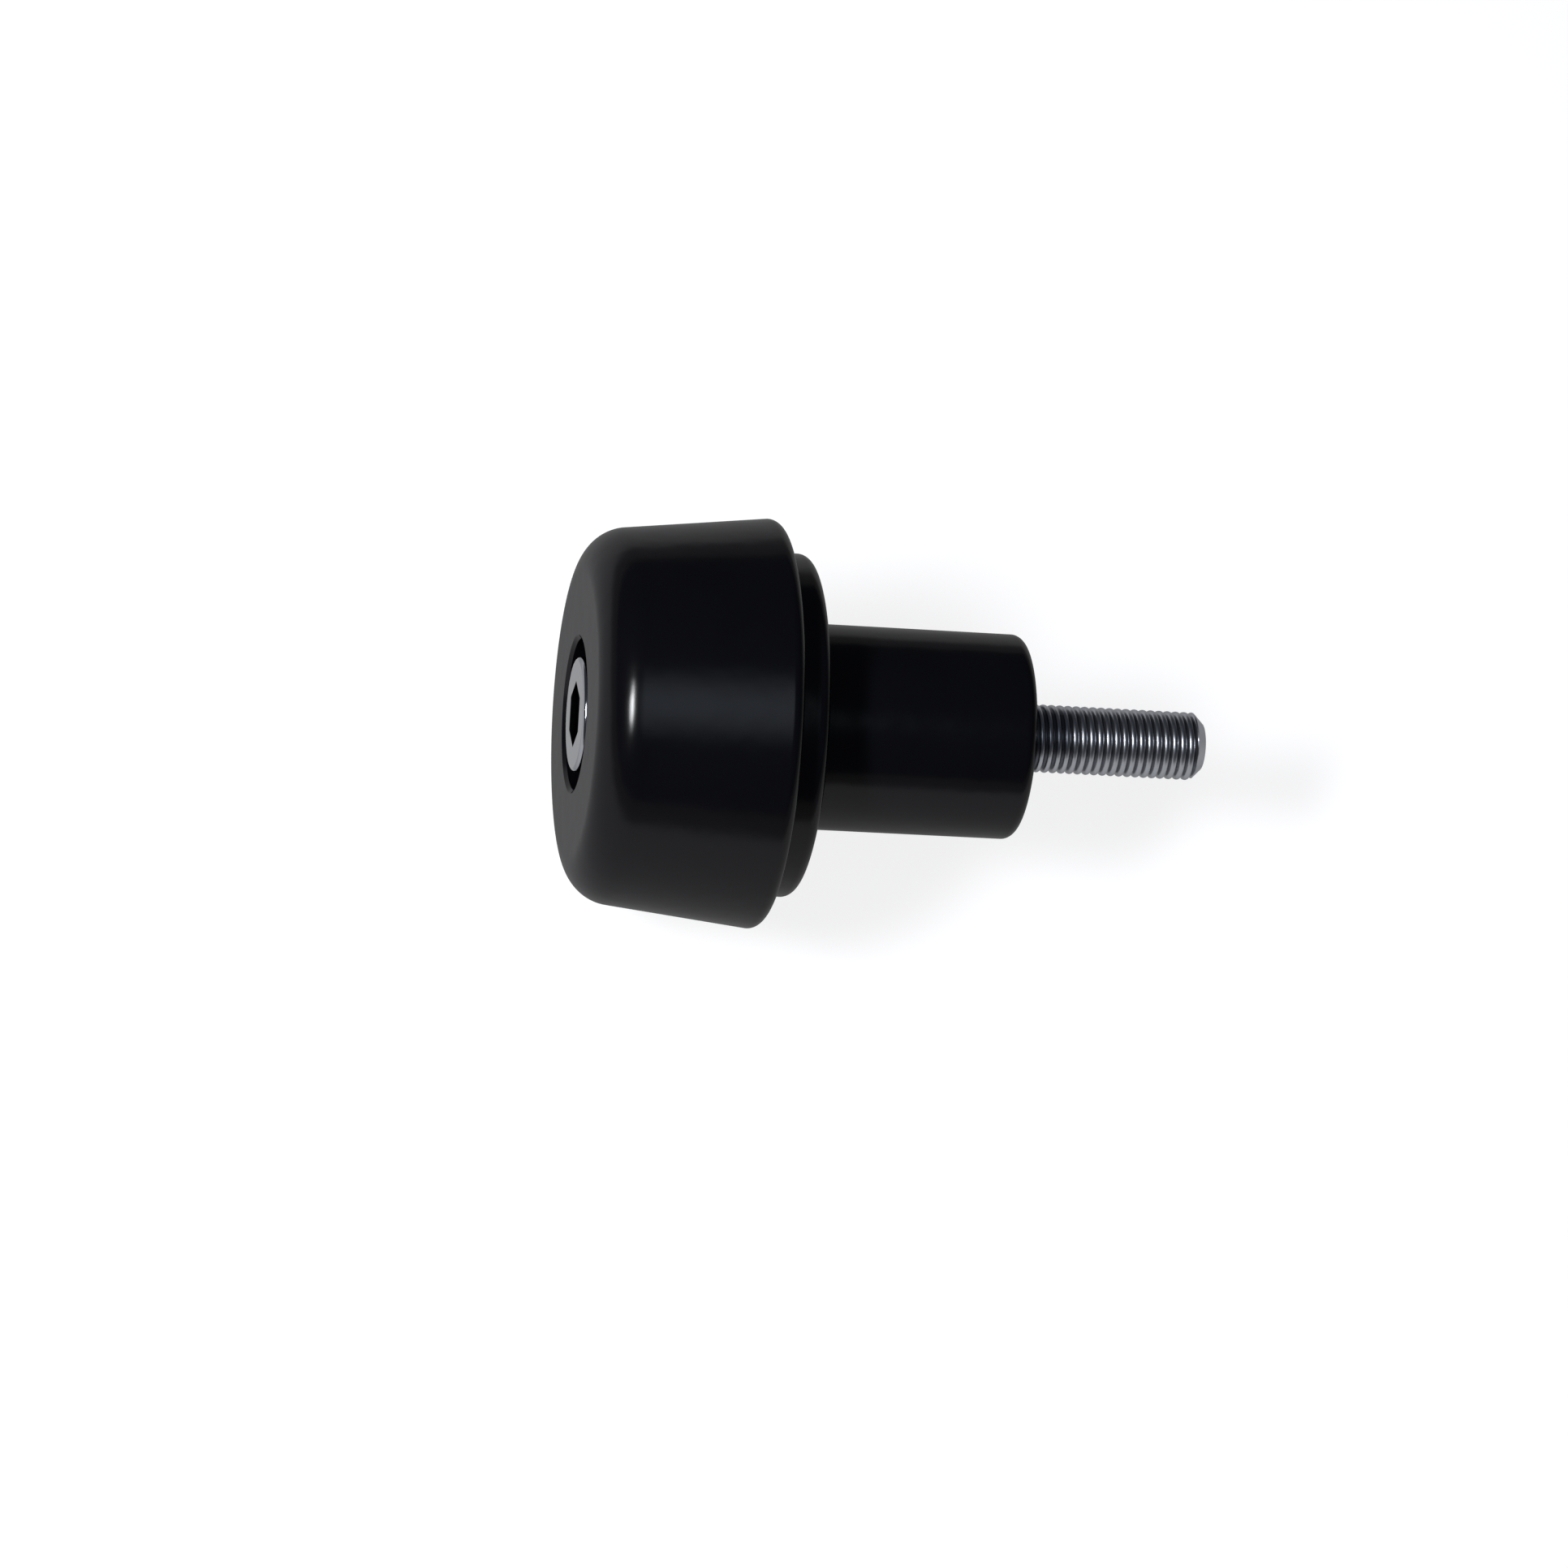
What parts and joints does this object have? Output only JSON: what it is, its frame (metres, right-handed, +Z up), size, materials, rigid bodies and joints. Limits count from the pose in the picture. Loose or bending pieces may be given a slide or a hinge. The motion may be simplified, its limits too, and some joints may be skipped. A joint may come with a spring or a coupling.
{
  "type": "bar end weight",
  "caption": "Round tapered bar end weight with a collar and a plain spigot for a handlebar, and a socket head cap screw whose thread stands out of the spigot to hold it.",
  "frame": {"origin": "where the weight's axis meets the seat of the collar, at the root of the spigot", "axes": "+X along the axis into the handlebar, so the outer face looks towards -X; +Z up"},
  "size_m": [0.056, 0.0358, 0.0358],
  "materials": {
    "black_coating": "satin",
    "zinc_plate": "satin"
  },
  "bodies": {
    "root": {"weight_body": "black_coating", "cap_screw": "zinc_plate"}
  },
  "joints": []
}
